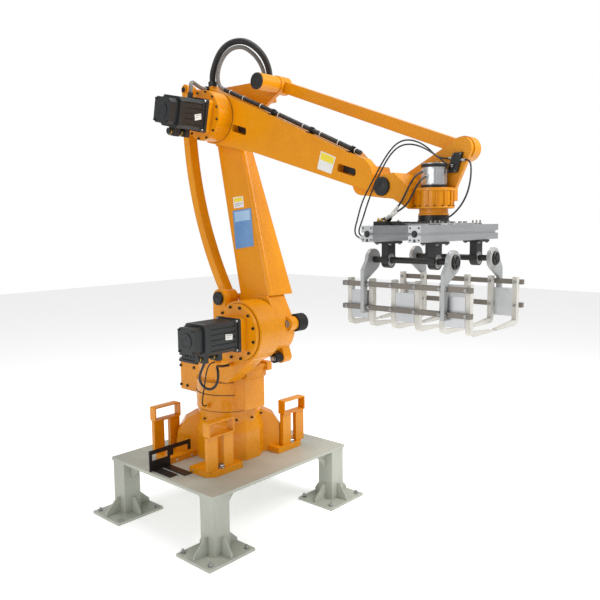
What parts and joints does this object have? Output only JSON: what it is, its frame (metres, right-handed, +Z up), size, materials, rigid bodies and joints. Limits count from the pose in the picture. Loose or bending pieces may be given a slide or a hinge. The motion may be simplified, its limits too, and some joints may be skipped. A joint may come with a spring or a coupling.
{
  "type": "palletising robot arm with bag gripper on a welded stand",
  "caption": "Parallel-link palletising robot arm on a welded steel table, with a level wrist and a swinging-jaw bag gripper.",
  "frame": {"origin": "on the floor, under the axis on which the column turns, at the centre of the table", "axes": "+X the way the arm reaches, +Z up, Y = 0 is the plane the arm moves in"},
  "size_m": [2.307, 1.296, 2.8132],
  "materials": {
    "machine_yellow": "gloss paint",
    "table_paint": "satin paint",
    "black_motor": "satin paint",
    "aluminium": "satin",
    "dark_steel": "satin",
    "rubber": "matte",
    "bare_steel": "satin",
    "jaw_steel": "satin paint",
    "plastic_black": "matte",
    "black_paint": "satin",
    "conduit_grey": "satin",
    "hose_black": "satin",
    "sleeve_grey": "matte",
    "cable_black": "satin"
  },
  "bodies": {
    "stand": {"table_plate": "table_paint", "leg_front_near": "table_paint", "leg_front_far": "table_paint", "leg_rear_near": "table_paint", "leg_rear_far": "table_paint", "base_casting": "machine_yellow", "fork_pocket_front_near": "machine_yellow", "fork_pocket_front_far": "machine_yellow", "fork_pocket_rear_near": "machine_yellow", "fork_pocket_rear_far": "machine_yellow", "cable_bracket": "black_paint"},
    "column": {"column": "machine_yellow", "waist_motor": "black_motor", "shoulder_motor": "black_motor", "rear_pin_cap": "plastic_black", "shoulder_cable": "cable_black", "drop_cable": "cable_black"},
    "lower_arm": {"lower_arm": "machine_yellow", "arm_buffers": "rubber"},
    "rear_rod": {"rear_rod": "machine_yellow"},
    "link_plate": {"link_plate": "machine_yellow", "link_pin_cap": "plastic_black", "link_hose_nuts": "black_paint"},
    "upper_arm": {"upper_arm": "machine_yellow", "elbow_motor": "black_motor", "arm_conduit": "conduit_grey", "conduit_clamps": "rubber", "arm_hose_nuts": "black_paint", "elbow_hose": "hose_black", "elbow_sleeve": "sleeve_grey", "motor_sleeve": "sleeve_grey"},
    "upper_rod": {"upper_rod": "machine_yellow"},
    "wrist": {"wrist_body": "machine_yellow", "wrist_cap": "plastic_black", "wrist_motor": "bare_steel", "junction_box": "black_paint", "wrist_cable_long": "cable_black", "wrist_cable_short": "cable_black", "tool_loop_cable": "cable_black", "lead_rear": "cable_black", "lead_front": "cable_black"},
    "gripper": {"tool_flange": "machine_yellow", "tool_adapter": "dark_steel", "grip_plate": "aluminium", "grip_beam_front": "aluminium", "grip_beam_rear": "aluminium", "valve_block": "dark_steel", "lead_plugs": "aluminium", "near_hangers": "black_paint", "far_hangers": "black_paint"},
    "near_jaw": {"near_shaft": "bare_steel", "near_swing_arms": "aluminium", "near_bars": "jaw_steel", "near_fingers": "jaw_steel", "near_press_plates": "jaw_steel"},
    "far_jaw": {"far_shaft": "bare_steel", "far_swing_arms": "aluminium", "far_bars": "jaw_steel", "far_fingers": "jaw_steel", "far_press_plates": "jaw_steel"}
  },
  "joints": [
    {"name": "waist", "type": "hinge", "parent": "stand", "child": "column", "pos_m": [0, 0, 0.655], "axis": [0, 0, 1], "range_deg": [-170, 170]},
    {"name": "shoulder", "type": "hinge", "parent": "column", "child": "lower_arm", "pos_m": [0.38, 0, 1.172], "axis": [0, 1, 0], "range_deg": [-4, 62]},
    {"name": "rear_rod_foot", "type": "hinge", "parent": "column", "child": "rear_rod", "pos_m": [0.185, -0.148, 1.342], "axis": [0, 1, 0], "range_deg": [-4, 62]},
    {"name": "link_plate_pivot", "type": "hinge", "parent": "lower_arm", "child": "link_plate", "pos_m": [0.07, 0.071, 2.365], "axis": [0, 1, 0], "range_deg": [-62, 4]},
    {"name": "elbow", "type": "hinge", "parent": "link_plate", "child": "upper_arm", "pos_m": [0.07, 0, 2.365], "axis": [0, 1, 0], "range_deg": [-11, 28], "deforming": ["elbow_hose", "elbow_sleeve"]},
    {"name": "upper_rod_rear", "type": "hinge", "parent": "link_plate", "child": "upper_rod", "pos_m": [0.378, 0.1143, 2.527], "axis": [0, 1, 0], "range_deg": [-11, 28]},
    {"name": "wrist_pivot", "type": "hinge", "parent": "upper_arm", "child": "wrist", "pos_m": [1.223, 0, 1.927], "axis": [0, 1, 0], "range_deg": [-28, 11]},
    {"name": "tool_turn", "type": "hinge", "parent": "wrist", "child": "gripper", "pos_m": [1.43, 0, 1.82], "axis": [0, 0, 1], "range_deg": [-180, 180], "deforming": ["wrist_cable_long", "wrist_cable_short", "tool_loop_cable", "lead_rear", "lead_front"]},
    {"name": "near_jaw_swing", "type": "hinge", "parent": "gripper", "child": "near_jaw", "pos_m": [1.43, -0.186, 1.591], "axis": [1, 0, 0], "range_deg": [-65, 0]},
    {"name": "far_jaw_swing", "type": "hinge", "parent": "gripper", "child": "far_jaw", "pos_m": [1.43, 0.186, 1.591], "axis": [1, 0, 0], "range_deg": [0, 65]}
  ],
  "couplings": [
    {"joint": "rear_rod_foot", "follows": "shoulder", "ratio": 1},
    {"joint": "link_plate_pivot", "follows": "shoulder", "ratio": -1},
    {"joint": "upper_rod_rear", "follows": "elbow", "ratio": 1},
    {"joint": "wrist_pivot", "follows": "elbow", "ratio": -1}
  ]
}
